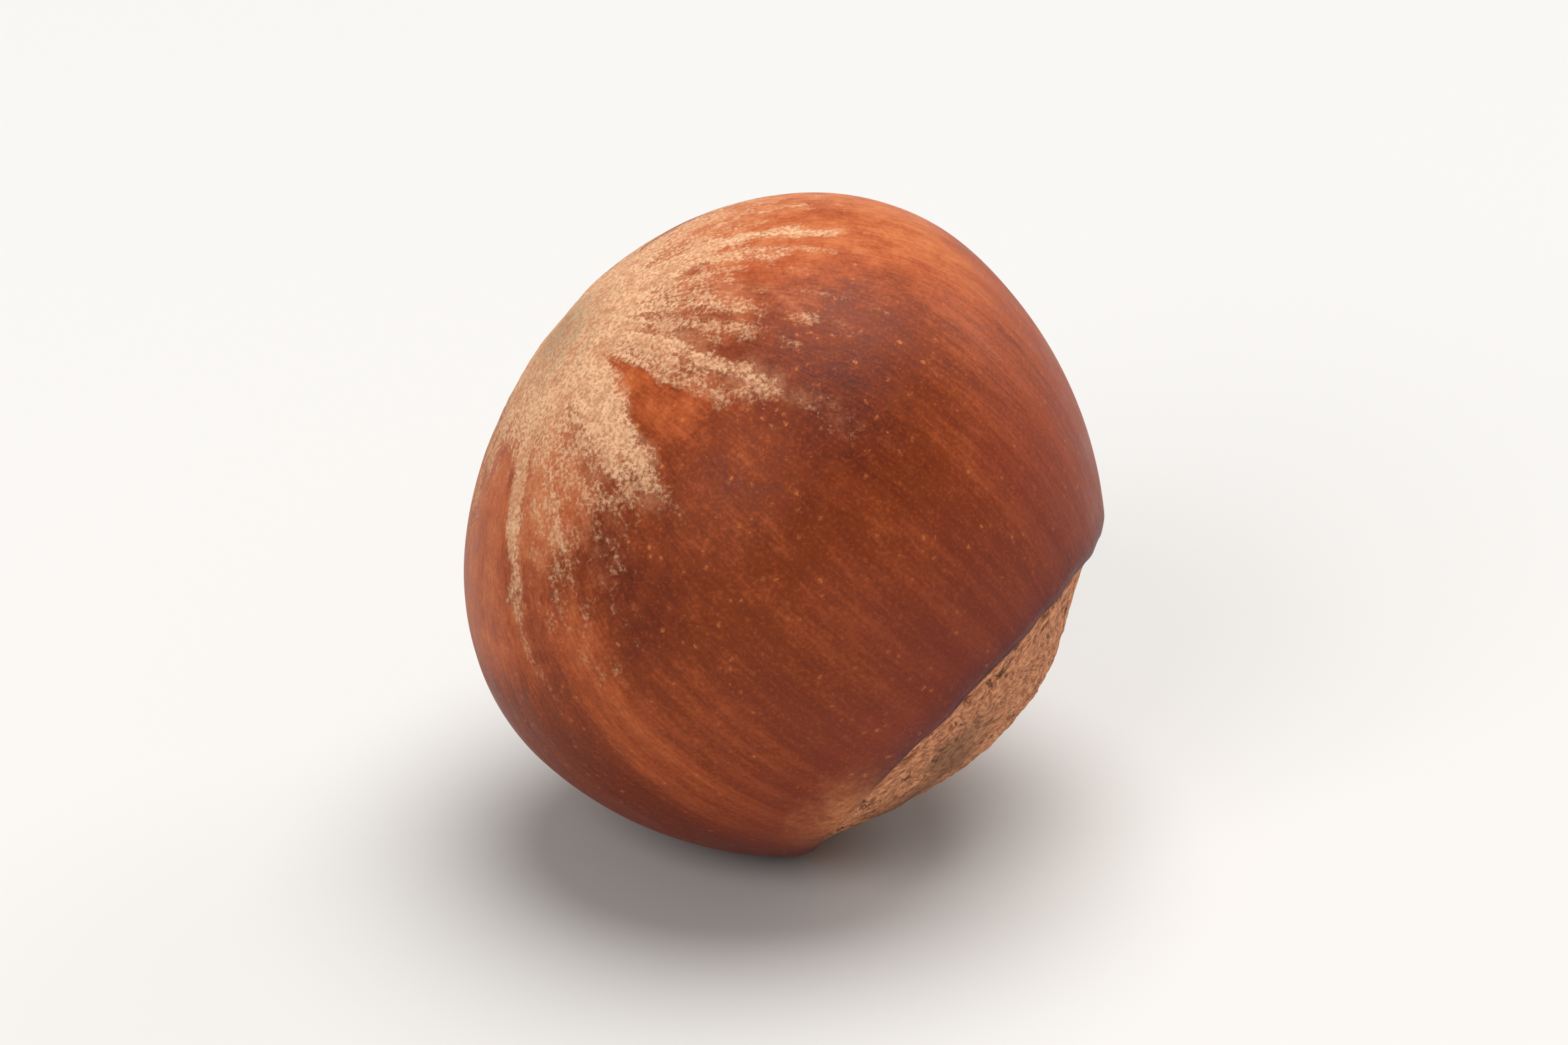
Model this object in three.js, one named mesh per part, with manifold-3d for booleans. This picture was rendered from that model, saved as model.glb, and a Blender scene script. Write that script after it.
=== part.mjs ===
// A hazelnut in its shell, at rest on the small flat spot low on its side, with its tip raised.
// Millimetres, +Z up. The origin is the middle of the flat spot, and the tip leans towards -X.
//
// The nut is one solid of revolution gone slightly wrong, as it grows: a spheroid of unequal halves that
// leans to one side, is faintly three-sided, carries a small nub at its tip, and has its base scar set in
// behind a wavy rim. Its own frame has the axis along +Z from scar to tip, and the width along X.
import * as THREE from "three";
import { mergeVertices } from "three/addons/utils/BufferGeometryUtils.js";
import Module from "manifold-3d";

const deg = THREE.MathUtils.degToRad;

// Body of the shell
const WIDTH = 22.0; // across the two seams
const THICKNESS = 20.6; // across the two cheeks
const WAIST_HEIGHT = 1.1; // of the widest ring, above the nut's own centre
const TIP_REACH = 8.85; // from the widest ring up to the tip
const BASE_REACH = 12.1; // from the widest ring down to where an unscarred base would end
const LEAN_ACROSS = 0.018; // share of the radius by which the shoulder towards +X is the fuller one
const LEAN_THROUGH = 0.011; // and the same for the shoulder towards +Y
const THREE_SIDED = 0.0235; // share of the radius by which the three faint cheeks stand in
const THREE_SIDED_TURN = 22; // degrees

// Nub left by the flower at the tip
const NUB_HEIGHT = 0.3;
const NUB_RADIUS = 1.9;

// Base scar, where the husk held the nut
const SCAR_DEPTH = 0.088; // share of the radius that the scar is set in behind its rim
const SCAR_EASE = deg(6); // how quickly it gets that deep, going in from the rim
const DIMPLE_DEPTH = 0.012; // share of the radius, at the middle of the scar
const DIMPLE_SPREAD = deg(13);
const RIM_ANGLE = 134.5; // mean angle of the rim from the tip, in degrees
const RIM_WAVES = [
  // [waves round the rim, swing in degrees, turn in degrees]
  [1, 10.3, 81],
  [2, 3.1, 0],
];

// Pose and flat spot
const SPIN = deg(19.6); // about the nut's own axis
const TILT = deg(45); // of that axis from upright, towards -X
const FLAT_DEPTH = 0.3; // of shell missing at the flat spot

// Mesh
const ROUND_SEGMENTS = 72;
const RIM_ROW = 33; // rows of facets from the tip to the rim
const ROWS = 44; // and from the tip to the middle of the scar

// Angle from the tip at which the shell ends and the scar begins, on the side of the nut that faces theta.
function rimAngle(theta) {
  const waves = RIM_WAVES.map(([count, swing, turn]) => swing * Math.cos(count * theta - deg(turn)));
  return deg(waves.reduce((sum, wave) => sum + wave, RIM_ANGLE));
}

// Share of the spheroid's radius at angle psi from the tip, on the side that faces theta.
function swell(theta, psi) {
  const fuller = LEAN_ACROSS * Math.cos(theta) + LEAN_THROUGH * Math.sin(theta);
  const lean = fuller * Math.sin(2 * psi);
  const cheeks = THREE_SIDED * Math.cos(3 * theta + deg(THREE_SIDED_TURN)) * Math.sin(psi) ** 2;
  const intoScar = Math.max(0, psi - rimAngle(theta));
  const scar = SCAR_DEPTH * (1 - Math.exp(-intoScar / SCAR_EASE));
  const dimple = DIMPLE_DEPTH * Math.exp(-(((Math.PI - psi) / DIMPLE_SPREAD) ** 2));
  return 1 + lean - cheeks - scar - dimple;
}

// Point of the shell or scar at angle psi from the tip, on the side that faces theta.
function surfacePoint(theta, psi) {
  const reach = psi < Math.PI / 2 ? TIP_REACH : BASE_REACH;
  const share = swell(theta, psi);
  const fromAxis = (WIDTH / 2) * Math.sin(psi);
  const nub = psi < Math.PI / 2 ? NUB_HEIGHT * Math.exp(-((fromAxis / NUB_RADIUS) ** 2)) : 0;
  return new THREE.Vector3(
    share * fromAxis * Math.cos(theta),
    share * (THICKNESS / 2) * Math.sin(psi) * Math.sin(theta),
    WAIST_HEIGHT + share * reach * Math.cos(psi) + nub,
  );
}

// A sphere whose rows are drawn out so that one of them runs along the rim, then moved onto the nut.
function nutGeometry() {
  const sphere = new THREE.SphereGeometry(1, ROUND_SEGMENTS, ROWS);
  const place = sphere.getAttribute("position");
  const uv = sphere.getAttribute("uv");
  for (let i = 0; i < place.count; i += 1) {
    const row = Math.round((1 - uv.getY(i)) * ROWS);
    const atPole = row === 0 || row === ROWS;
    const theta = atPole ? 0 : 2 * Math.PI * uv.getX(i);
    const rim = rimAngle(theta);
    const psi =
      row <= RIM_ROW
        ? (rim * row) / RIM_ROW
        : rim + ((Math.PI - rim) * (row - RIM_ROW)) / (ROWS - RIM_ROW);
    const point = surfacePoint(theta, psi);
    place.setXYZ(i, point.x, point.y, point.z);
  }
  sphere.deleteAttribute("normal");
  sphere.deleteAttribute("uv");
  return mergeVertices(sphere, 1e-4);
}

// Closed geometry as a manifold-3d solid, and back.
function toSolid(wasm, geometry) {
  return new wasm.Manifold(
    new wasm.Mesh({
      numProp: 3,
      vertProperties: geometry.getAttribute("position").array,
      triVerts: new Uint32Array(geometry.index.array),
    }),
  );
}

function toGeometry(solid) {
  const { vertProperties, triVerts } = solid.getMesh();
  const geometry = new THREE.BufferGeometry();
  geometry.setAttribute("position", new THREE.BufferAttribute(vertProperties, 3));
  geometry.setIndex(new THREE.BufferAttribute(triVerts, 1));
  return geometry;
}

// Everything lower than the given height.
function slabBelow(height) {
  const side = 3 * WIDTH;
  const slab = new THREE.BoxGeometry(side, side, side).translate(0, 0, height - side / 2);
  slab.deleteAttribute("normal");
  slab.deleteAttribute("uv");
  return mergeVertices(slab);
}

// Moves the geometry so that the middle of its lowest, flat face is the origin.
function standOnFlat(geometry, height) {
  const place = geometry.getAttribute("position");
  const foot = new THREE.Box3();
  const point = new THREE.Vector3();
  for (let i = 0; i < place.count; i += 1) {
    point.fromBufferAttribute(place, i);
    if (point.z < height + 1e-3) foot.expandByPoint(point);
  }
  foot.getCenter(point);
  geometry.translate(-point.x, -point.y, -height);
}

const wasm = await Module();
wasm.setup();

const whole = nutGeometry();
whole.rotateZ(SPIN);
whole.rotateY(-TILT);
whole.computeBoundingBox();
const flatHeight = whole.boundingBox.min.z + FLAT_DEPTH;
const rested = toGeometry(toSolid(wasm, whole).subtract(toSolid(wasm, slabBelow(flatHeight))));
standOnFlat(rested, flatHeight);
rested.computeVertexNormals();

const shell = new THREE.MeshStandardMaterial({ color: "#9c4f30", roughness: 0.5, metalness: 0 });
const hazelnut = new THREE.Mesh(rested, shell);
hazelnut.name = "hazelnut";

const part = new THREE.Group();
part.add(hazelnut);

export default part;
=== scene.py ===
"""A hazelnut in its shell, lying on a pale floor with its felted tip raised and its base scar turned down.

Everything is in metres, +Z up. The nut's own frame has its axis along +Z from the scar to the tip, and its
width along X. On the shell, theta is the angle round that axis and psi the angle down from the tip.
"""

import math

import bpy
import numpy as np
from bpy.props import FloatProperty, FloatVectorProperty, PointerProperty
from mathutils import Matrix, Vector


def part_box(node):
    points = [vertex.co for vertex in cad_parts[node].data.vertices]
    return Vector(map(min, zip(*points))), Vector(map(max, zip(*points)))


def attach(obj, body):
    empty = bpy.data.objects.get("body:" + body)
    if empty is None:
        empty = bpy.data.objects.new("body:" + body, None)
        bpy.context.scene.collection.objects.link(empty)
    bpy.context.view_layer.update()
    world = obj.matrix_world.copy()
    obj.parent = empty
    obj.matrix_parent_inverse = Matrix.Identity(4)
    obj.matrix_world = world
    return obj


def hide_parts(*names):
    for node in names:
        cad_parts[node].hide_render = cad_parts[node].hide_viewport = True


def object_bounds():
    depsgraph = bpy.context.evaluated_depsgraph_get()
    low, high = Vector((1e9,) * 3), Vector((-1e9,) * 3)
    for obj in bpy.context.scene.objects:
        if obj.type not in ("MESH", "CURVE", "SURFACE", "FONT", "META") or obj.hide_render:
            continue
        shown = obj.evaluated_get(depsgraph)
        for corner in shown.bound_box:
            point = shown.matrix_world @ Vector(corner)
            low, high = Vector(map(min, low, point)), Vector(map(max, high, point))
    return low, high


bl_info = {
    "name": "Hazelnut",
    "version": (1, 0, 0),
    "blender": (4, 5, 0),
    "location": "3D View > Sidebar > Hazelnut",
    "description": "Grows one hazelnut in its shell and sets it on a pale studio floor",
    "category": "Add Mesh",
}

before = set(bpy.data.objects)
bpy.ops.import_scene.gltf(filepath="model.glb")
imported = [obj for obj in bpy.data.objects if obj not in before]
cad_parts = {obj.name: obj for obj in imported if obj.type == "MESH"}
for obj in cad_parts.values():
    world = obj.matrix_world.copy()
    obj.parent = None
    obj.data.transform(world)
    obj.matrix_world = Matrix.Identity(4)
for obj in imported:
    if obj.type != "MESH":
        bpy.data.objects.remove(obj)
CAD_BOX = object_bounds()

NODE = "hazelnut"
MM = 0.001

# Lopsidedness of the nut, as shares of its radius
LEAN_ACROSS = 0.018
LEAN_THROUGH = 0.011
THREE_SIDED = 0.0235
THREE_SIDED_TURN = math.radians(22)

# Edge of the scar: mean angle from the tip, then (waves round the edge, swing, turn), all in degrees, and its
# slight wander, in degrees too: (share, cells round the nut, cells along it, seed)
RIM_ANGLE = 134.5
RIM_WAVES = ((1, 10.3, 81), (2, 3.1, 0))
RIM_WANDER = ((0.7, 7, 0, 31),)

# How the scar eases in behind its edge, and the dimple in its middle, whose depth is a share of the radius
SCAR_EASE = math.radians(6)
EDGE_ROUNDING = math.radians(0.35)
DIMPLE_DEPTH = 0.012
DIMPLE_SPREAD = math.radians(13)

# Tongues and gaps of the felt round its edge: (theta, half width, extra reach), all in degrees
FELT_TONGUES = (
    (207, 3.6, 25), (221, 13, 10), (238, 6.0, 8), (255, 9.0, 26), (273, 4.5, -8), (282, 3.0, 9),
    (290, 3.8, 24), (303, 7.0, 3), (315, 5.0, 10), (330, 4.0, 21), (341, 3.6, 30), (356, 7.0, 5),
    (16, 12, 15), (41, 3.5, 14), (58, 13, 9), (80, 4.0, 13), (104, 14, 6), (127, 5.0, 19), (143, 10, 11),
    (162, 3.0, 12), (173, 8.0, 6),
)

# How far the sides of the tongues wander, in degrees: (share, cells round the nut, cells along it, seed)
FELT_WANDER = ((3.2, 3, 4, 41), (2.4, 11, 14, 42))

# Millimetres over which the felt thins out: FELT_EDGE all round, and more where it is scattered, each given
# as (theta, half width, in degrees, then the millimetres more). It is dense all over down to the first angle
# of FELT_DENSE, and the scattering sets in fully at the second.
FELT_EDGE = 0.8
FELT_SCATTER = (
    (207, 4, 1.0), (223, 11, 3.2), (240, 6, 2.4), (255, 7, 0.5), (289, 8, 3.2), (309, 12, 2.8),
    (331, 5, 1.2), (356, 11, 2.4), (16, 12, 2.2), (41, 6, 3.0), (60, 12, 3.4), (82, 8, 1.8), (104, 13, 3.2),
    (127, 6, 1.4), (146, 10, 3.0), (170, 10, 2.2),
)
FELT_DENSE = (math.radians(13), math.radians(26))

# Where cork dust laps over the edge of the shell: (theta, half width, in degrees, then how thickly, up to 1)
CORK_LAPS = ((229, 12, 0.95), (60, 12, 0.5), (130, 8, 0.75), (165, 6, 0.4))

# Relief of the shell and of the scar's fibres, which is drawn out along the nut: (height in mm, cells round
# the nut, cells along it, seed). The shell has broad flutes, ribs and fine lines, in that order. They fade in
# between the two distances of TIP_FADE from the tip, and out between those of RIM_FADE past the scar's edge,
# in mm.
SHELL_RELIEF = ((0.055, 2.4, 0.7, 11), (0.016, 12, 0.8, 12), (0.005, 34, 2.0, 13))
FIBRE_RELIEF = ((0.025, 24, 5, 23), (0.02, 48, 9, 24))
TIP_FADE = (0.5, 4)
RIM_FADE = (-1.2, -0.1)

# Relief of the felt's tufts and of the scar's lumps, alike every way: (height in mm, width in mm, seed). Then
# how thick the felt is without its tufts, in mm, and the covers between which it rises to its full height.
TUFT_RELIEF = ((0.03, 0.42, 14), (0.02, 1.1, 15))
LUMP_RELIEF = ((0.07, 1.7, 25), (0.03, 0.5, 26))
FELT_THICKNESS = 0.02
FELT_RISE = (-0.5, 1.5)

# The scar's lip and the ring of its pits: how far inside the edge and half how wide, in mm, and how far the
# ring wanders
LIP_HEIGHT = 0.07
LIP_PLACE = (0.3, 0.25)
PIT_RING = (1.15, 0.38)
RING_WANDER = ((0.35, 4, 0, 21),)

# The pits: depth, width, and width of the places in the middle where they gather, in mm, then the values of
# their noise between which they deepen and gather, and how many cells it is shifted by, which settles where
# they fall
PIT_DEPTH = 0.28
PIT_WIDTH = 0.4
PIT_GATHERING = 2.2
PIT_NOISE = (0.05, 0.6)
GATHERING_NOISE = (0.0, 0.45)
PIT_SHIFT = 7

# Distances past the scar's edge, in mm, between which each thing sets in: the scar's relief as a whole, its
# roughness, the pits in the middle, and the swerve of the fibres
SCAR_ONSET = (0, 0.2)
ROUGH_ONSET = (0.15, 1.3)
MIDDLE_ONSET = (2.6, 6.0)
SWIRL_ONSET = (0, 3)

# How far the scar's fibres swerve from a straight way to its middle, and over what length
SCAR_SWIRL = math.radians(16)
SWIRL_LENGTH = 2.4 * MM

# Near the tip, the patterns that run along the shell shrink to nothing within this distance
TIP_BLEND = 0.25 * MM

# Stains of the shell, with some painted shade: (theta, half width, from psi, to psi, tone), the angles in
# degrees.
# A tone above 0 is paler and more orange than the shell, one below 0 is darker. The dark ones at theta 184
# and
# 200 are partly stains and partly painted shade. Each fades at both ends over TONE_END degrees.
STAINS_AND_SHADE = (
    (184, 12, 66, 104, -0.35), (188, 20, 20, 66, 0.78), (200, 9, 76, 128, -0.45), (220, 7, 56, 132, 0.50),
    (224, 18, 12, 46, 0.85), (240, 8, 46, 78, -0.40), (254, 1.6, 84, 126, 0.16), (268, 22, 42, 58, -0.10),
    (272, 7, 14, 46, 0.36), (276, 1.4, 88, 122, 0.14), (284, 24, 62, 88, -0.30), (291, 2.0, 84, 124, 0.18),
    (296, 17, 48, 78, -0.28), (306, 18, 22, 58, 0.12), (318, 3, 80, 128, 0.12), (319, 8, 28, 50, 0.40),
    (338, 15, 22, 88, 0.62), (338, 18, 88, 132, 0.28), (4, 22, 20, 78, 0.75), (34, 7, 60, 128, 0.40),
    (56, 9, 52, 122, -0.30), (84, 14, 24, 92, 0.45), (99, 5, 64, 132, -0.35), (117, 10, 34, 118, 0.35),
    (142, 10, 50, 122, -0.30), (160, 12, 24, 80, 0.45),
)
TONE_END = 14

# Widths of the patterns on the shell, in mm
SHELL_FIBRE = 0.14
SHELL_GRIT = 0.12
STRIPE = 0.7
CLOUD = 1.0
BROAD_CLOUD = 3.2
FLECK_SPACING = 0.36

# Widths of the patterns on the felt, in mm
TUFT = 0.13
CLUMP = 0.7

# Widths of the patterns on the scar, in mm
EDGE_FIBRE = 0.15
INNER_FIBRE = 0.25
CORK_GRIT = 0.24
SPECK = 0.7
WORN_PATCH = 3.4

# The stage: height over width of the picture, width of the camera's sensor in mm, how many times nearer and
# farther than the nut the camera sees, where each softbox stands and how wide it is, in metres, which way the
# overhead light falls, how far the floor lies under the nut, and the colour of the room
PICTURE_SHAPE = 1568 / 2353
SENSOR_WIDTH = 36
CLIP_RANGE = 20
BACK_SOFTBOX = ((0.42, 0.34, 0.30), 0.30)
FRONT_SOFTBOX = ((-0.30, -0.42, 0.40), 0.36)
OVERHEAD_FALL = (-0.12, -0.22, -1)
FLOOR_GAP = 0.01 * MM
ROOM_COLOUR = "#fafafa"

# How many random values the lattice noise draws on, and the large odd numbers that pick one for each corner
LATTICE_VALUES = 8192
LATTICE_FACTORS = (73856093, 19349663, 83492791)

# Grid of the nut: columns round it, rows from the tip to the scar's edge, and rows from there to its middle
COLUMNS = 384
SHELL_ROWS = 176
SCAR_ROWS = 80
SCAR_ROW_GROWTH = 1.4


# ------------------------------------------------------------------------------------------- numbers


def linear(hex_colour):
    """The linear colour of an sRGB hex value such as "#8a3f24", with alpha 1."""
    channels = [int(hex_colour[i : i + 2], 16) / 255 for i in (1, 3, 5)]
    return (*(c / 12.92 if c <= 0.04045 else ((c + 0.055) / 1.055) ** 2.4 for c in channels), 1.0)


def opaque(colour):
    """A colour setting as the four numbers that a colour socket takes."""
    return (*colour, 1.0)


def ease(start, end, value):
    """0 up to start, 1 from end on, and a smooth S between them."""
    t = np.clip((value - start) / (end - start), 0, 1)
    return t * t * (3 - 2 * t)


def hump(centre, half_width, value):
    """A smooth hump, 1 at the centre and nearly gone at twice the half width."""
    return np.exp(-(((value - centre) / half_width) ** 2))


def hump_round(centre, half_width, theta):
    """The same hump on the angle round the nut, where 360 degrees is 0 again."""
    away = (theta - centre + math.pi) % (2 * math.pi) - math.pi
    return np.exp(-((away / half_width) ** 2))


def lattice_noise(points, seed):
    """Smooth noise between -1 and 1.

    Every corner of a unit lattice holds a random value, and a point takes the mix of its cell's eight corner
    values, weighted by how near it is to each, eased along each axis.
    """
    values = np.random.default_rng(seed).uniform(-1, 1, LATTICE_VALUES)
    cell = np.floor(points).astype(np.int64)
    part = points - cell
    part = part * part * (3 - 2 * part)
    total = np.zeros(points.shape[:-1])
    for corner in np.ndindex(2, 2, 2):
        at = (cell + corner) * np.array(LATTICE_FACTORS)
        value = values[np.bitwise_xor.reduce(at, axis=-1) % LATTICE_VALUES]
        total += value * np.prod(np.where(corner, part, 1 - part), axis=-1)
    return total


def drawn_noise(grain, layers):
    """Sum of noises drawn out along the nut, each given as (height, cells round it, cells along it, seed)."""
    return sum(
        height * lattice_noise(grain * (cells, cells, cells_along), seed)
        for height, cells, cells_along, seed in layers
    )


def even_noise(points, layers):
    """Sum of noises that are alike every way, each given as (height, width in mm, seed)."""
    return sum(height * lattice_noise(points / (width * MM), seed) for height, width, seed in layers)


# --------------------------------------------------------------------------------------------- shape


def rim_angle(theta):
    """Angle from the tip at which the scar begins.

    A mean angle plus one and two waves round the nut, as in the CAD solid, and a slight wander.
    """
    waves = [swing * np.cos(count * theta - math.radians(turn)) for count, swing, turn in RIM_WAVES]
    round_nut = np.stack([np.cos(theta), np.sin(theta), np.zeros_like(theta)], axis=-1)
    return np.radians(RIM_ANGLE + sum(waves) + drawn_noise(round_nut, RIM_WANDER))


def body_point(sizes, theta, psi):
    """A spheroid of unequal halves, with each radius scaled by how much the nut swells there.

    The swell is 1, plus a lean to one side, less three faint cheeks, less the scar, which eases in behind its
    edge, and less a dimple in the middle of the scar. A small nub stands on the tip.
    """
    lean = (LEAN_ACROSS * np.cos(theta) + LEAN_THROUGH * np.sin(theta)) * np.sin(2 * psi)
    cheeks = THREE_SIDED * np.cos(3 * theta + THREE_SIDED_TURN) * np.sin(psi) ** 2
    into_scar = EDGE_ROUNDING * np.logaddexp(0, (psi - rim_angle(theta)) / EDGE_ROUNDING)
    scar = sizes.scar_depth / (sizes.width / 2) * (1 - np.exp(-into_scar / SCAR_EASE))
    dimple = DIMPLE_DEPTH * hump(math.pi, DIMPLE_SPREAD, psi)
    share = 1 + lean - cheeks - scar - dimple
    reach = np.where(psi < math.pi / 2, sizes.tip_reach, sizes.base_reach)
    from_axis = sizes.width / 2 * np.sin(psi)
    nub = np.where(psi < math.pi / 2, sizes.nub_height * hump(0, sizes.nub_radius, from_axis), 0)
    return np.stack(
        [
            share * from_axis * np.cos(theta),
            share * sizes.thickness / 2 * np.sin(psi) * np.sin(theta),
            sizes.waist_height + share * reach * np.cos(psi) + nub,
        ],
        axis=-1,
    )


def humps_round(humps, theta):
    """Sum of humps on the angle round the nut, each given as (centre, half width, height).

    The centre and the half width are in degrees.
    """
    return sum(
        height * hump_round(math.radians(centre), math.radians(half_width), theta)
        for centre, half_width, height in humps
    )


def felt_cover(sizes, grain, theta, psi):
    """How well the felt covers the shell: above 1 all over, below -1 not at all, and 0 at its mean edge.

    The felt's edge has pointed tongues and gaps, whose sides wander by a few degrees. The cover is the way
    back to that edge, divided by the stretch over which the felt thins out.
    """
    wandered = theta + np.radians(drawn_noise(grain, FELT_WANDER))
    edge = sizes.felt_reach + np.radians(humps_round(FELT_TONGUES, wandered))
    thinning = FELT_EDGE + humps_round(FELT_SCATTER, wandered) * ease(*FELT_DENSE, psi)
    return (edge - psi) * sizes.width / 2 / MM / thinning


def stain_and_shade_tone(theta, psi):
    """Sum of the long stains and the painted shade among them: each a hump across its width and a soft-ended
    stretch along the shell.
    """
    tone = np.zeros_like(theta)
    down = np.degrees(psi)
    for at, half_width, start, end, strength in STAINS_AND_SHADE:
        across = hump_round(math.radians(at), math.radians(half_width), theta)
        along = ease(start - TONE_END / 2, start + TONE_END / 2, down)
        along *= 1 - ease(end - TONE_END / 2, end + TONE_END / 2, down)
        tone += strength * across * along
    return tone


def shell_relief(grain, points, past_rim, from_tip, cover):
    """Height of the shell's relief, in mm: broad flutes, ribs and fine lines that run from tip to scar.

    They fade at the tip and at the edge of the scar. The felt lies on top of them, with tufts of its own.
    """
    along = drawn_noise(grain, SHELL_RELIEF) * ease(*TIP_FADE, from_tip) * (1 - ease(*RIM_FADE, past_rim))
    felt = FELT_THICKNESS + even_noise(points, TUFT_RELIEF)
    return along + felt * ease(*FELT_RISE, cover)


def scar_relief(grain, points, past_rim):
    """Height of the scar's relief, in mm: a thin lip, then lumpy cork with faint fibres from edge to middle.

    Pits stand in a ring just inside the edge, and gather in a few places in the middle.
    """
    lip = LIP_HEIGHT * hump(*LIP_PLACE, past_rim)
    rough = drawn_noise(grain, FIBRE_RELIEF) + even_noise(points, LUMP_RELIEF)
    rough = rough * ease(*ROUGH_ONSET, past_rim)
    ring = hump(*PIT_RING, past_rim + drawn_noise(grain, RING_WANDER))
    gathered = lattice_noise(points / (PIT_GATHERING * MM) + PIT_SHIFT, seed=27)
    gathered = ease(*GATHERING_NOISE, gathered) * ease(*MIDDLE_ONSET, past_rim)
    pits = lattice_noise(points / (PIT_WIDTH * MM) + PIT_SHIFT, seed=29)
    pits = PIT_DEPTH * ease(*PIT_NOISE, pits) * np.maximum(ring, gathered)
    return (lip + rough - pits) * ease(*SCAR_ONSET, past_rim)


def lay_on_floor(sizes, points):
    """Spins the nut about its own axis, then leans its tip over towards -X."""
    spin, tilt = sizes.spin, sizes.tilt
    about_z = np.array([[math.cos(spin), -math.sin(spin), 0], [math.sin(spin), math.cos(spin), 0], [0, 0, 1]])
    about_y = np.array([[math.cos(tilt), 0, -math.sin(tilt)], [0, 1, 0], [math.sin(tilt), 0, math.cos(tilt)]])
    return points @ (about_y @ about_z).T


def shift_to_cad(smooth):
    """What to add so that the smooth nut has the CAD nut's middle in plan, and its height at the top."""
    low, high = (np.array(corner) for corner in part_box(NODE))
    own_low, own_high = smooth.reshape(-1, 3).min(0), smooth.reshape(-1, 3).max(0)
    shift = (low + high) / 2 - (own_low + own_high) / 2
    shift[2] = high[2] - own_high[2]
    return shift


def nut_grid(sizes):
    """Points of the nut on a grid of rows from tip to scar and columns round it, and what its material reads.

    The rows are drawn out so that one runs along the scar's edge, and they are closest together just past it.
    Whatever reaches below the floor is flattened onto it, which is the flat spot.
    """
    theta = np.linspace(0, 2 * math.pi, COLUMNS, endpoint=False)[np.newaxis, :]
    down_shell = np.linspace(0, 1, SHELL_ROWS, endpoint=False)[:, np.newaxis]
    down_scar = np.linspace(0, 1, SCAR_ROWS + 1)[:, np.newaxis] ** SCAR_ROW_GROWTH
    rim = rim_angle(theta)
    psi = np.concatenate([rim * down_shell, rim + (math.pi - rim) * down_scar])
    theta = np.broadcast_to(theta, psi.shape)

    smooth = body_point(sizes, theta, psi)
    steps = np.linalg.norm(np.diff(smooth, axis=0), axis=-1)
    along = np.concatenate([np.zeros((1, COLUMNS)), np.cumsum(steps, axis=0)])
    past_rim = (along - along[SHELL_ROWS]) / MM
    ring = np.minimum(1, along / TIP_BLEND)
    swirl = SCAR_SWIRL * lattice_noise(smooth / SWIRL_LENGTH, seed=30) * ease(*SWIRL_ONSET, past_rim)
    round_axis = [ring * np.cos(theta + swirl), ring * np.sin(theta + swirl)]
    grain = np.stack([*round_axis, along / (sizes.width / 2)], axis=-1)
    cover = felt_cover(sizes, grain, theta, psi)
    shell = shell_relief(grain, smooth, past_rim, along / MM, cover)
    relief = np.where(past_rim > 0, scar_relief(grain, smooth, past_rim), shell)
    relief[0] = relief[0].mean()
    relief[-1] = relief[-1].mean()
    out = smooth / np.linalg.norm(smooth, axis=-1, keepdims=True)
    points = lay_on_floor(sizes, smooth + out * relief[..., np.newaxis] * MM)
    points += shift_to_cad(lay_on_floor(sizes, smooth))
    points[..., 2] = np.maximum(points[..., 2], 0)
    attributes = {
        "grain": grain,
        "felt_cover": cover,
        "past_edge": past_rim,
        "cork_lap": humps_round(CORK_LAPS, theta),
        "relief": relief,
        # The tone holds the stains, and painted shade in the dark ones at theta 184 and 200
        "tone": stain_and_shade_tone(theta, psi),
        "psi": np.degrees(psi),
        "from_tip": along / MM,
    }
    return points, attributes


def close_grid(values):
    """The values as one list of vertices: a single one for each pole, and the rest row by row."""
    rows = values.reshape(-1, *values.shape[2:])
    return np.concatenate([rows[:1], rows[COLUMNS:-COLUMNS], rows[-1:]])


def grid_faces(rows):
    """Faces of a closed grid with that many rows of vertices between its two poles: fans and quads."""
    here = np.arange(COLUMNS)
    beside = (here + 1) % COLUMNS
    last = 1 + rows * COLUMNS
    tip_fan = np.stack([np.zeros_like(here), 1 + here, 1 + beside], axis=-1)
    base = 1 + (rows - 1) * COLUMNS
    scar_fan = np.stack([np.full_like(here, last), base + beside, base + here], axis=-1)
    above = 1 + COLUMNS * np.arange(rows - 1)[:, np.newaxis]
    below = above + COLUMNS
    quads = np.stack([above + here, below + here, below + beside, above + beside], axis=-1)
    return tip_fan.tolist() + quads.reshape(-1, 4).tolist() + scar_fan.tolist()


def make_piece(name, points, faces, attributes, material):
    """A smooth-shaded object at the origin with those vertices, faces and attributes."""
    mesh = bpy.data.meshes.new(name)
    mesh.from_pydata(points, [], faces)
    for label, values in attributes.items():
        kind, field = ("FLOAT", "value") if values.ndim == 1 else ("FLOAT_VECTOR", "vector")
        layer = mesh.attributes.new(label, kind, "POINT")
        layer.data.foreach_set(field, values.astype(np.float32).ravel())
    mesh.shade_smooth()
    mesh.materials.append(material)
    mesh.update()
    piece = bpy.data.objects.new(name, mesh)
    bpy.context.scene.collection.objects.link(piece)
    return piece


# ----------------------------------------------------------------------------------------- materials


def add(tree, kind, feeds, **settings):
    """Adds a node with its settings, and fills or links its inputs.

    A node that is given for an input stands for the first of its outputs that is in use.
    """
    made = tree.nodes.new(kind)
    for name, value in settings.items():
        setattr(made, name, value)
    for key, value in feeds.items():
        if isinstance(value, bpy.types.Node):
            value = next(socket for socket in value.outputs if socket.enabled)
        if isinstance(value, bpy.types.NodeSocket):
            tree.links.new(value, made.inputs[key])
        else:
            made.inputs[key].default_value = value
    return made


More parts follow.
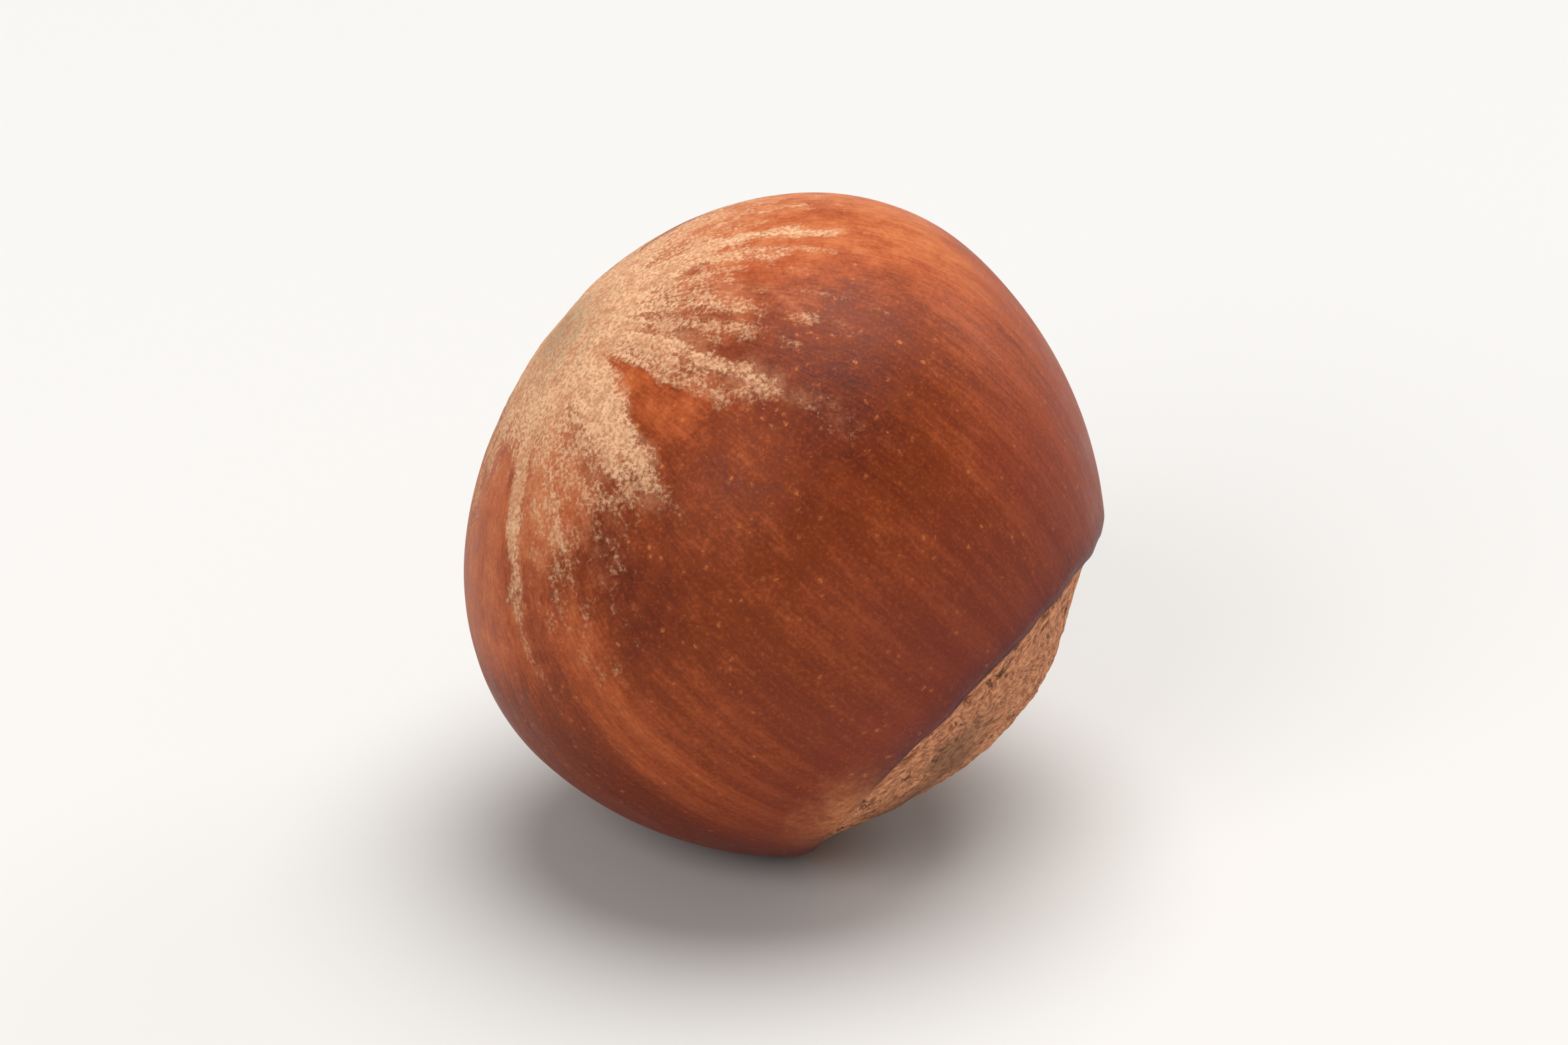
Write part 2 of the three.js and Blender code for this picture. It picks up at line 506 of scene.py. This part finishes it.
# Settings that nodes share. A Map Range reads its value at input 0, its range at 1 and 2, and what that range
# turns into at 3 and 4. A Mix reads its factor at 0 and its two colours at 6 and 7.
SMOOTH = {"interpolation_type": "SMOOTHSTEP"}
COLOUR = {"data_type": "RGBA"}
TIMES = {"operation": "MULTIPLY"}
TIMES_PLUS = {"operation": "MULTIPLY_ADD"}
DOT = {"operation": "DOT_PRODUCT"}


def shell_finish(tree, colours, on_nut, radius_mm):
    """Woody shell, worn smooth: satin, red brown, clouded near the tip and streaked near the scar.

    Its fibre lines are 0.14 mm wide, its stripes 0.7 mm and its clouds 1 mm, and grit of 0.12 mm dulls it
    all over. Near the scar it turns plum. Corky flecks, up to 0.25 mm across, gather in clusters.
    """
    psi = on_nut["psi"]
    grain = on_nut["grain"]
    place = on_nut["place"]
    drawn_out = add(tree, "ShaderNodeVectorMath", {0: grain, 1: (1, 1, 0.06)}, **TIMES)
    drawn_a_little = add(tree, "ShaderNodeVectorMath", {0: grain, 1: (1, 1, 0.45)}, **TIMES)
    short = add(tree, "ShaderNodeVectorMath", {0: grain, 1: (1, 1, 0.15)}, **TIMES)
    broad = {"Vector": drawn_a_little, "Scale": radius_mm / BROAD_CLOUD, "Detail": 2}
    broad = add(tree, "ShaderNodeTexNoise", broad)
    clouds = {"Vector": place, "Scale": 1 / (CLOUD * MM), "Detail": 5, "Roughness": 0.68}
    clouds = add(tree, "ShaderNodeTexNoise", clouds)
    stripes = add(tree, "ShaderNodeTexNoise", {"Vector": drawn_out, "Scale": radius_mm / STRIPE, "Detail": 3})
    fibres = add(tree, "ShaderNodeTexNoise", {"Vector": short, "Scale": radius_mm / SHELL_FIBRE, "Detail": 1})
    grit = add(tree, "ShaderNodeTexNoise", {"Vector": place, "Scale": 1 / (SHELL_GRIT * MM), "Detail": 1})

    streaked = add(tree, "ShaderNodeMapRange", {0: psi, 1: 58, 2: 96, 3: 0.0, 4: 0.75}, **SMOOTH)
    figure = add(tree, "ShaderNodeMix", {0: streaked, 2: clouds, 3: stripes})
    # The tone holds the shell's stains, and painted shade at theta 184 to 200
    coarse = add(tree, "ShaderNodeCombineXYZ", {0: broad, 1: figure, 2: on_nut["tone"]})
    fine = add(tree, "ShaderNodeCombineXYZ", {0: fibres, 1: grit, 2: 1.0})
    coarse = add(tree, "ShaderNodeVectorMath", {0: coarse, 1: (0.9, 1.9, 1.0)}, **DOT)
    fine = add(tree, "ShaderNodeVectorMath", {0: fine, 1: (0.7, 0.7, -2.05)}, **DOT)
    tone = add(tree, "ShaderNodeMath", {0: coarse, 1: fine})
    tone = add(tree, "ShaderNodeMapRange", {0: tone, 1: -1.2, 2: 1.2})
    colour = add(tree, "ShaderNodeValToRGB", {0: tone})
    browns = {0: colours.darkest, 0.28: colours.dark, 0.5: colours.shell, 0.75: colours.pale}
    set_stops(colour, {**browns, 1: colours.palest})

    ripe = add(tree, "ShaderNodeMath", {0: broad, 1: 60.0, 2: psi}, **TIMES_PLUS)
    ripe = add(tree, "ShaderNodeMapRange", {0: ripe, 1: 108, 2: 155, 4: 0.6}, **SMOOTH)
    colour = add(tree, "ShaderNodeMix", {0: ripe, 6: colour, 7: opaque(colours.plum)}, **COLOUR)
    edge = add(tree, "ShaderNodeMath", {0: clouds, 1: 1.2, 2: on_nut["past_edge"]}, **TIMES_PLUS)
    bloom = add(tree, "ShaderNodeMapRange", {0: on_nut["cork_lap"], 3: 0.58, 4: 0.0})
    edge = add(tree, "ShaderNodeMapRange", {0: edge, 1: -0.7, 2: 0.9, 4: bloom}, **SMOOTH)
    colour = add(tree, "ShaderNodeMix", {0: edge, 6: colour, 7: opaque(colours.edge_bloom)}, **COLOUR)

    cells = add(tree, "ShaderNodeTexVoronoi", {"Vector": place, "Scale": 1 / (FLECK_SPACING * MM)})
    chosen = add(tree, "ShaderNodeSeparateColor", {0: cells.outputs["Color"]})
    ragged = add(tree, "ShaderNodeMath", {0: grit, 1: 0.9, 2: cells}, **TIMES_PLUS)
    spot = add(tree, "ShaderNodeMapRange", {0: ragged, 1: 0.76, 2: 0.4}, **SMOOTH)
    upper = add(tree, "ShaderNodeMapRange", {0: psi, 1: 88, 2: 56, 4: 0.2}, **SMOOTH)
    clustered = add(tree, "ShaderNodeMath", {0: clouds, 1: 1.6, 2: chosen.outputs[0]}, **TIMES_PLUS)
    clustered = add(tree, "ShaderNodeMath", {0: clustered, 1: upper})
    strength = add(tree, "ShaderNodeMapRange", {0: clustered, 1: 1.25, 2: 2.0, 4: 0.8}, **SMOOTH)
    fleck = add(tree, "ShaderNodeMath", {0: spot, 1: strength}, **TIMES)
    colour = add(tree, "ShaderNodeMix", {0: fleck, 6: colour, 7: opaque(colours.fleck)}, **COLOUR)
    dots = add(tree, "ShaderNodeMapRange", {0: grit, 1: 0.56, 2: 0.72, 4: 0.22}, **SMOOTH)
    colour = add(tree, "ShaderNodeMix", {0: dots, 6: colour, 7: opaque(colours.pale)}, **COLOUR)

    roughness = add(tree, "ShaderNodeMapRange", {0: clouds, 1: 0.35, 2: 0.65, 3: 0.40, 4: 0.52})
    relief = add(tree, "ShaderNodeCombineXYZ", {0: fibres, 1: stripes, 2: clouds})
    height = add(tree, "ShaderNodeVectorMath", {0: relief, 1: (0.010, 0.016, 0.014)}, **DOT)
    height = add(tree, "ShaderNodeMath", {0: grit, 1: 0.008, 2: height}, **TIMES_PLUS)
    height = add(tree, "ShaderNodeMath", {0: fleck, 1: 0.012, 2: height}, **TIMES_PLUS)
    return {"colour": colour, "roughness": roughness, "height": height, "stripes": stripes, "clouds": clouds}


def set_stops(ramp, stops):
    """Gives a colour ramp its colours, each at its place between 0 and 1."""
    for position in list(stops)[1:-1]:
        ramp.color_ramp.elements.new(position)
    for element, colour in zip(ramp.color_ramp.elements, stops.values()):
        element.color = opaque(colour)


def felt_finish(tree, colours, on_nut):
    """Short matted down at the tip: dull, tan, and grainy, with tufts about 0.13 mm across.

    It is greyer on the nub, where the flower was.
    """
    place = on_nut["place"]
    tufts = {"Vector": place, "Scale": 1 / (TUFT * MM), "Detail": 3, "Roughness": 0.6}
    tufts = add(tree, "ShaderNodeTexNoise", tufts)
    clumps = add(tree, "ShaderNodeTexNoise", {"Vector": place, "Scale": 1 / (CLUMP * MM), "Detail": 4})
    shade = add(tree, "ShaderNodeMapRange", {0: tufts, 1: 0.62, 2: 0.36}, **SMOOTH)
    colour = {0: shade, 6: opaque(colours.felt), 7: opaque(colours.felt_shade)}
    colour = add(tree, "ShaderNodeMix", colour, **COLOUR)
    thin = add(tree, "ShaderNodeMapRange", {0: clumps, 1: 0.5, 2: 0.68, 4: 0.35}, **SMOOTH)
    colour = add(tree, "ShaderNodeMix", {0: thin, 6: colour, 7: opaque(colours.felt_shade)}, **COLOUR)
    nub = add(tree, "ShaderNodeMath", {0: clumps, 1: 4.5, 2: on_nut["from_tip"]}, **TIMES_PLUS)
    nub = add(tree, "ShaderNodeMapRange", {0: nub, 1: 4.7, 2: 2.4, 4: 0.6}, **SMOOTH)
    colour = add(tree, "ShaderNodeMix", {0: nub, 6: colour, 7: opaque(colours.felt_nub)}, **COLOUR)
    height = add(tree, "ShaderNodeMath", {0: tufts, 1: 0.045, 2: 0.02}, **TIMES_PLUS)
    return {"colour": colour, "height": height, "tufts": tufts, "clumps": clumps}


def scar_finish(tree, colours, on_nut, radius_mm):
    """Torn cork of the base scar: dull, golden brown and grainy, in matted fibres 0.15 to 0.25 mm wide.

    Just inside the edge the fibres lie along it, and further in they point to the middle. Dark specks stand
    between them, the pits are darkened nearly to black with painted shade, and some patches are weathered to
    grey brown.
    """
    past_edge = on_nut["past_edge"]
    grain = on_nut["grain"]
    place = on_nut["place"]
    along_edge = add(tree, "ShaderNodeVectorMath", {0: grain, 1: (0.22, 0.22, 1)}, **TIMES)
    inward = add(tree, "ShaderNodeVectorMath", {0: grain, 1: (1, 1, 0.4)}, **TIMES)
    outer = {"Vector": along_edge, "Scale": radius_mm / EDGE_FIBRE, "Detail": 2}
    outer = add(tree, "ShaderNodeTexNoise", outer)
    inner = add(tree, "ShaderNodeTexNoise", {"Vector": inward, "Scale": radius_mm / INNER_FIBRE, "Detail": 3})
    grit = {"Vector": place, "Scale": 1 / (CORK_GRIT * MM), "Detail": 4, "Roughness": 0.75, "Distortion": 0.4}
    grit = add(tree, "ShaderNodeTexNoise", grit)
    specks = {"Vector": place, "Scale": 1 / (SPECK * MM), "Detail": 5, "Roughness": 0.7}
    specks = add(tree, "ShaderNodeTexNoise", specks)
    patches = add(tree, "ShaderNodeTexNoise", {"Vector": place, "Scale": 1 / (WORN_PATCH * MM), "Detail": 5})

    past_ring = add(tree, "ShaderNodeMapRange", {0: past_edge, 1: 1.0, 2: 3.0}, **SMOOTH)
    fibres = add(tree, "ShaderNodeMix", {0: past_ring, 2: outer, 3: inner})
    weave = add(tree, "ShaderNodeMix", {0: 0.6, 2: fibres, 3: grit})
    light = add(tree, "ShaderNodeMapRange", {0: weave, 1: 0.38, 2: 0.61}, **SMOOTH)
    colour = {0: light, 6: opaque(colours.scar_shade), 7: opaque(colours.scar)}
    colour = add(tree, "ShaderNodeMix", colour, **COLOUR)
    inside = add(tree, "ShaderNodeMapRange", {0: past_edge, 1: 1.6, 2: 3.4, 4: 0.65}, **SMOOTH)
    worn = add(tree, "ShaderNodeMapRange", {0: patches, 1: 0.48, 2: 0.64, 4: inside}, **SMOOTH)
    colour = add(tree, "ShaderNodeMix", {0: worn, 6: colour, 7: opaque(colours.scar_worn)}, **COLOUR)
    dark = add(tree, "ShaderNodeMix", {0: 0.35, 2: specks, 3: inner})
    dark = add(tree, "ShaderNodeMapRange", {0: dark, 1: 0.52, 2: 0.64, 4: 0.9}, **SMOOTH)
    colour = add(tree, "ShaderNodeMix", {0: dark, 6: colour, 7: opaque(colours.scar_dash_and_pit_shade)}, **COLOUR)
    lip = add(tree, "ShaderNodeMapRange", {0: past_edge, 1: 0.9, 2: 0.4, 4: 0.5}, **SMOOTH)
    colour = add(tree, "ShaderNodeMix", {0: lip, 6: colour, 7: opaque(colours.scar_lip)}, **COLOUR)
    # Painted shade: the scar's pits and hollows darken with their depth, nearly to black
    painted_pit_shade = add(tree, "ShaderNodeMapRange", {0: on_nut["relief"], 1: -0.05, 2: -0.26, 4: 0.85}, **SMOOTH)
    colour = add(tree, "ShaderNodeMix", {0: painted_pit_shade, 6: colour, 7: opaque(colours.scar_dash_and_pit_shade)}, **COLOUR)
    height = add(tree, "ShaderNodeMath", {0: grit, 1: 0.6, 2: fibres}, **TIMES_PLUS)
    height = add(tree, "ShaderNodeMath", {0: height, 1: 0.12}, **TIMES)
    return {"colour": colour, "height": height}


def nut_material(sizes, colours):
    """Hazelnut shell: lignified wood, felted at the tip and torn to cork at the base.

    The shell is worn to a satin that shows broad, soft highlights. The felt and the cork are dull. Here and
    there cork dust lies over the shell's edge, and a broken dark line shows where shell and scar meet. One
    bump in real millimetres carries the fibres, tufts and grit of all three.
    """
    material = bpy.data.materials.new("hazelnut_shell_wood")
    material.use_nodes = True
    tree = material.node_tree
    tree.nodes.clear()
    on_nut = {"place": add(tree, "ShaderNodeTexCoord", {}).outputs["Object"]}
    on_nut["grain"] = add(tree, "ShaderNodeAttribute", {}, attribute_name="grain").outputs["Vector"]
    for name in ("psi", "tone", "felt_cover", "from_tip", "past_edge", "cork_lap", "relief"):
        on_nut[name] = add(tree, "ShaderNodeAttribute", {}, attribute_name=name).outputs["Fac"]
    radius_mm = sizes.width / 2 / MM
    shell = shell_finish(tree, colours, on_nut, radius_mm)
    felt = felt_finish(tree, colours, on_nut)
    scar = scar_finish(tree, colours, on_nut, radius_mm)

    cover = on_nut["felt_cover"]
    ragged = add(tree, "ShaderNodeCombineXYZ", {0: shell["stripes"], 1: felt["clumps"], 2: felt["tufts"]})
    ragged = add(tree, "ShaderNodeVectorMath", {0: ragged, 1: (4.0, 6.0, 4.0)}, **DOT)
    ragged = add(tree, "ShaderNodeMath", {0: ragged, 1: cover})
    dense = add(tree, "ShaderNodeMapRange", {0: felt["clumps"], 1: 0.42, 2: 0.66, 3: 0.98, 4: 0.78}, **SMOOTH)
    tufted = add(tree, "ShaderNodeMapRange", {0: ragged, 1: 5.7, 2: 8.1, 4: dense}, **SMOOTH)
    soft = add(tree, "ShaderNodeMath", {0: shell["clouds"], 1: 5.0, 2: cover}, **TIMES_PLUS)
    film = add(tree, "ShaderNodeMapRange", {0: soft, 1: 0.9, 2: 4.4, 4: 0.45}, **SMOOTH)
    felted = add(tree, "ShaderNodeMath", {0: tufted, 1: film}, operation="MAXIMUM")
    past_edge = on_nut["past_edge"]
    cork_edge = add(tree, "ShaderNodeMath", {0: felt["tufts"], 1: 0.5, 2: past_edge}, **TIMES_PLUS)
    cork_edge = add(tree, "ShaderNodeMath", {0: felt["clumps"], 1: 0.7, 2: cork_edge}, **TIMES_PLUS)
    scarred = add(tree, "ShaderNodeMapRange", {0: cork_edge, 1: 0.8, 2: 1.1}, **SMOOTH)
    line = add(tree, "ShaderNodeMapRange", {0: shell["clouds"], 1: 0.4, 2: 0.6, 3: 0.1, 4: 0.6}, **SMOOTH)
    line = add(tree, "ShaderNodeMapRange", {0: cork_edge, 1: 0.3, 2: 0.85, 4: line}, **SMOOTH)
    thick = add(tree, "ShaderNodeMath", {0: on_nut["cork_lap"], 1: 0.85}, **TIMES)
    dusted = add(tree, "ShaderNodeMath", {0: shell["clouds"], 1: 2.4, 2: past_edge}, **TIMES_PLUS)
    dusted = add(tree, "ShaderNodeMapRange", {0: dusted, 1: -0.9, 2: 1.6, 4: thick}, **SMOOTH)

    colour = add(tree, "ShaderNodeMix", {0: felted, 6: shell["colour"], 7: felt["colour"]}, **COLOUR)
    colour = add(tree, "ShaderNodeMix", {0: line, 6: colour, 7: opaque(colours.rim_line)}, **COLOUR)
    colour = add(tree, "ShaderNodeMix", {0: dusted, 6: colour, 7: scar["colour"]}, **COLOUR)
    colour = add(tree, "ShaderNodeMix", {0: scarred, 6: colour, 7: scar["colour"]}, **COLOUR)
    rough = add(tree, "ShaderNodeMath", {0: felted, 1: 0.42, 2: shell["roughness"]}, **TIMES_PLUS)
    corky = add(tree, "ShaderNodeMath", {0: scarred, 1: dusted}, operation="MAXIMUM")
    rough = add(tree, "ShaderNodeMix", {0: corky, 2: rough, 3: 0.9})
    height = add(tree, "ShaderNodeMix", {0: felted, 2: shell["height"], 3: felt["height"]})
    height = add(tree, "ShaderNodeMix", {0: scarred, 2: height, 3: scar["height"]})
    bump = add(tree, "ShaderNodeBump", {"Strength": 1.0, "Distance": MM, "Height": height})

    feeds = {"Base Color": colour, "Roughness": rough, "Normal": bump, "IOR": 1.5, "Specular IOR Level": 0.12}
    surface = add(tree, "ShaderNodeBsdfPrincipled", feeds)
    add(tree, "ShaderNodeOutputMaterial", {"Surface": surface})
    return material


def floor_material(stage):
    """Matt painted board: one pale, even tone with no gloss."""
    material = bpy.data.materials.new("matt_painted_board")
    material.use_nodes = True
    tree = material.node_tree
    tree.nodes.clear()
    feeds = {"Base Color": opaque(stage.floor_colour), "Roughness": 0.9}
    surface = add(tree, "ShaderNodeBsdfPrincipled", feeds)
    add(tree, "ShaderNodeOutputMaterial", {"Surface": surface})
    return material


# -------------------------------------------------------------------------------------- stage pieces


def make_floor(stage):
    """A flat square, just under the nut."""
    half = stage.floor_width / 2
    corners = np.array([(-1, -1, 0), (1, -1, 0), (1, 1, 0), (-1, 1, 0)]) * half
    corners[:, 2] = CAD_BOX[0].z - FLOOR_GAP
    floor = make_piece("pale_floor", corners, [(0, 1, 2, 3)], {}, floor_material(stage))


def make_camera(stage):
    """A long lens that looks along +Y and down at the nut, far enough off for it to fill its share."""
    low, high = CAD_BOX
    middle = (low + high) / 2
    camera = bpy.data.objects.new("camera", bpy.data.cameras.new("camera"))
    camera.data.lens = stage.lens
    camera.data.sensor_width = SENSOR_WIDTH
    short_side = SENSOR_WIDTH * PICTURE_SHAPE
    view_height = (high.z - low.z) / stage.fill
    distance = view_height * stage.lens / short_side
    back = Vector((0, -math.cos(stage.camera_height), math.sin(stage.camera_height)))
    camera.location = middle + back * distance
    camera.rotation_euler = (-back).to_track_quat("-Z", "Y").to_euler()
    camera.data.clip_start = distance / CLIP_RANGE
    camera.data.clip_end = distance * CLIP_RANGE
    bpy.context.scene.collection.objects.link(camera)
    bpy.context.scene.camera = camera


def make_softbox(name, at, size, power, target):
    """A square soft light, turned to face the nut."""
    light = bpy.data.lights.new(name, "AREA")
    light.shape = "SQUARE"
    light.size = size
    light.energy = power
    lamp = bpy.data.objects.new(name, light)
    lamp.location = at
    lamp.rotation_euler = (target - Vector(at)).to_track_quat("-Z", "Y").to_euler()
    bpy.context.scene.collection.objects.link(lamp)


def make_sky_light(stage):
    """A wide, even light from overhead and a little behind, so far off that it falls alike everywhere."""
    light = bpy.data.lights.new("overhead_light", "SUN")
    light.energy = stage.key_power
    light.angle = stage.key_spread
    lamp = bpy.data.objects.new("overhead_light", light)
    lamp.rotation_euler = Vector(OVERHEAD_FALL).to_track_quat("-Z", "Y").to_euler()
    bpy.context.scene.collection.objects.link(lamp)


def make_room(stage):
    """A pale room, which lights the nut dimly and looks as pale as the floor does far off."""
    world = bpy.data.worlds.new("pale_room")
    world.use_nodes = True
    tree = world.node_tree
    tree.nodes.clear()
    seen = add(tree, "ShaderNodeLightPath", {}).outputs["Is Camera Ray"]
    strength = add(tree, "ShaderNodeMapRange", {0: seen, 3: stage.room_light, 4: stage.backdrop})
    background = add(tree, "ShaderNodeBackground", {0: linear(ROOM_COLOUR), 1: strength})
    add(tree, "ShaderNodeOutputWorld", {"Surface": background})
    bpy.context.scene.world = world


def make_lights(stage):
    """The overhead light, a softbox behind on the right, a weak one in front, and the dim room."""
    target = (CAD_BOX[0] + CAD_BOX[1]) / 2
    make_sky_light(stage)
    make_softbox("back_softbox", *BACK_SOFTBOX, stage.back_power, target)
    make_softbox("front_softbox", *FRONT_SOFTBOX, stage.fill_power, target)
    make_room(stage)


# ------------------------------------------------------------------------------------- user settings


class NutSizes(bpy.types.PropertyGroup):
    """Sizes and pose of the nut."""

    width: FloatProperty(
        name="Width",
        description="Across the two seams",
        default=22.0 * MM,
        subtype="DISTANCE",
        unit="LENGTH",
    )
    thickness: FloatProperty(
        name="Thickness",
        description="Across the two cheeks",
        default=20.6 * MM,
        subtype="DISTANCE",
        unit="LENGTH",
    )
    waist_height: FloatProperty(
        name="Waist height",
        description="Height of the widest ring above the nut's own centre",
        default=1.1 * MM,
        subtype="DISTANCE",
        unit="LENGTH",
    )
    tip_reach: FloatProperty(
        name="Tip reach",
        description="From the widest ring up to the tip",
        default=8.85 * MM,
        subtype="DISTANCE",
        unit="LENGTH",
    )
    base_reach: FloatProperty(
        name="Base reach",
        description="From the widest ring down to where an unscarred base would end",
        default=12.1 * MM,
        subtype="DISTANCE",
        unit="LENGTH",
    )
    nub_height: FloatProperty(
        name="Nub height",
        description="Of the nub on the tip",
        default=0.3 * MM,
        subtype="DISTANCE",
        unit="LENGTH",
    )
    nub_radius: FloatProperty(
        name="Nub radius",
        description="Of the nub on the tip",
        default=1.9 * MM,
        subtype="DISTANCE",
        unit="LENGTH",
    )
    scar_depth: FloatProperty(
        name="Scar depth",
        description="How far the scar is set in behind its edge",
        default=0.968 * MM,
        subtype="DISTANCE",
        unit="LENGTH",
    )
    felt_reach: FloatProperty(
        name="Felt reach",
        description="Angle from the tip that the felt reaches all round",
        default=math.radians(23),
        subtype="ANGLE",
        unit="ROTATION",
    )
    spin: FloatProperty(
        name="Spin",
        description="About the nut's own axis",
        default=math.radians(19.6),
        subtype="ANGLE",
        unit="ROTATION",
    )
    tilt: FloatProperty(
        name="Tilt",
        description="Of its axis from upright",
        default=math.radians(45),
        subtype="ANGLE",
        unit="ROTATION",
    )


class StageSettings(bpy.types.PropertyGroup):
    """Floor, light and camera."""

    floor_width: FloatProperty(
        name="Floor width",
        description="Side of the square floor",
        default=6.0,
        subtype="DISTANCE",
        unit="LENGTH",
    )
    floor_colour: FloatVectorProperty(
        name="Floor colour",
        description="Paint on the floor",
        default=linear("#cbc9c6")[:3],
        subtype="COLOR",
        size=3,
    )
    key_power: FloatProperty(
        name="Key light", description="Strength of the light overhead", default=3.3
    )
    key_spread: FloatProperty(
        name="Key spread",
        description="How wide the light overhead looks from the nut",
        default=math.radians(50),
        subtype="ANGLE",
        unit="ROTATION",
    )
    back_power: FloatProperty(
        name="Back light",
        description="Power of the softbox behind",
        default=0.8,
        subtype="POWER",
        unit="POWER",
    )
    fill_power: FloatProperty(
        name="Fill light",
        description="Power of the softbox in front",
        default=1.7,
        subtype="POWER",
        unit="POWER",
    )
    room_light: FloatProperty(
        name="Room light", description="Strength of the even light from all round", default=0.28
    )
    backdrop: FloatProperty(
        name="Backdrop", description="How bright the room itself looks", default=0.78
    )
    lens: FloatProperty(
        name="Lens", description="Focal length", default=150.0, subtype="DISTANCE_CAMERA", unit="CAMERA"
    )
    camera_height: FloatProperty(
        name="Camera height",
        description="Angle of the camera above the floor",
        default=math.radians(27),
        subtype="ANGLE",
        unit="ROTATION",
    )
    fill: FloatProperty(
        name="Fill",
        description="Share of the picture's height that the nut takes",
        default=0.62,
        subtype="FACTOR",
    )


def colour_property(label, description, hex_colour):
    """A colour setting with that sRGB default."""
    return FloatVectorProperty(
        name=label, description=description, default=linear(hex_colour)[:3], subtype="COLOR", size=3
    )


class NutColours(bpy.types.PropertyGroup):
    """Colours of the nut's shell, felt and scar."""

    shell: colour_property("Shell", "Most of the shell", "#803718")
    pale: colour_property("Pale shell", "Orange clouds and streaks of the shell", "#a75029")
    palest: colour_property("Palest shell", "Palest clouds and streaks of the shell", "#c27040")
    dark: colour_property("Dark shell", "Dark clouds and streaks of the shell", "#6c2b14")
    darkest: colour_property("Darkest shell", "Darkest clouds and streaks of the shell", "#4c1d14")
    plum: colour_property("Plum", "What the shell turns to towards its scar", "#7d3428")
    edge_bloom: colour_property("Edge bloom", "Shell beside the scar", "#573038")
    fleck: colour_property("Flecks", "Corky flecks on the shell", "#c8703e")
    felt: colour_property("Felt", "Tops of the felt's tufts", "#dfb18a")
    felt_shade: colour_property("Felt shade", "Between the tufts", "#bb8661")
    felt_nub: colour_property("Felt on the nub", "Greyer felt on the tip", "#9a8164")
    scar: colour_property("Scar", "Fibres of the scar", "#f2a87a")
    scar_shade: colour_property("Scar shade", "Between the fibres", "#9d6246")
    scar_worn: colour_property("Worn scar", "Weathered patches of the scar", "#6e5440")
    # Dark dashes of the scar, and the painted shade in its pits
    scar_dash_and_pit_shade: colour_property("Scar pits", "Pits and dashes of the scar", "#32221a")
    scar_lip: colour_property("Scar lip", "Thin lip round the scar", "#c87a44")
    rim_line: colour_property("Rim line", "Dark line where shell and scar meet", "#3f2426")


# ----------------------------------------------------------------------------------------- operators


class HAZELNUT_OT_set_stage(bpy.types.Operator):
    """Makes the camera, the pale floor and the studio light"""

    bl_idname = "hazelnut.set_stage"
    bl_label = "Set the stage"

    def execute(self, context):
        stage = context.scene.hazelnut_stage
        make_camera(stage)
        make_floor(stage)
        make_lights(stage)
        context.scene.view_settings.view_transform = "Standard"
        return {"FINISHED"}


class HAZELNUT_OT_grow_nut(bpy.types.Operator):
    """Grows the nut in place of its plain CAD solid"""

    bl_idname = "hazelnut.grow_nut"
    bl_label = "Grow the nut"

    def execute(self, context):
        sizes = context.scene.hazelnut_sizes
        colours = context.scene.hazelnut_colours
        points, attributes = nut_grid(sizes)
        layers = {label: close_grid(values) for label, values in attributes.items()}
        faces = grid_faces(len(points) - 2)
        nut = make_piece("ripe_nut", close_grid(points), faces, layers, nut_material(sizes, colours))
        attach(nut, "root")
        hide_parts(NODE)
        return {"FINISHED"}


class HAZELNUT_PT_sidebar(bpy.types.Panel):
    """Lists the steps and the settings"""

    bl_idname = "HAZELNUT_PT_sidebar"
    bl_label = "Hazelnut"
    bl_space_type = "VIEW_3D"
    bl_region_type = "UI"
    bl_category = "Hazelnut"

    def draw(self, context):
        for operator in OPERATORS:
            self.layout.operator(operator.bl_idname)
        scene = context.scene
        for group in (scene.hazelnut_sizes, scene.hazelnut_colours, scene.hazelnut_stage):
            box = self.layout.box()
            for name in group.__annotations__:
                box.prop(group, name)


OPERATORS = (HAZELNUT_OT_set_stage, HAZELNUT_OT_grow_nut)
CLASSES = (NutSizes, NutColours, StageSettings, *OPERATORS, HAZELNUT_PT_sidebar)


def register():
    """Makes the classes and the settings known to Blender."""
    for made in CLASSES:
        bpy.utils.register_class(made)
    bpy.types.Scene.hazelnut_sizes = PointerProperty(type=NutSizes)
    bpy.types.Scene.hazelnut_colours = PointerProperty(type=NutColours)
    bpy.types.Scene.hazelnut_stage = PointerProperty(type=StageSettings)


def unregister():
    """Takes them away again."""
    del bpy.types.Scene.hazelnut_stage
    del bpy.types.Scene.hazelnut_colours
    del bpy.types.Scene.hazelnut_sizes
    for made in reversed(CLASSES):
        bpy.utils.unregister_class(made)


def main():
    """Sets the stage and grows the nut."""
    register()
    for operator in OPERATORS:
        group, name = operator.bl_idname.split(".")
        getattr(getattr(bpy.ops, group), name)()


if __name__ == "__main__":
    main()
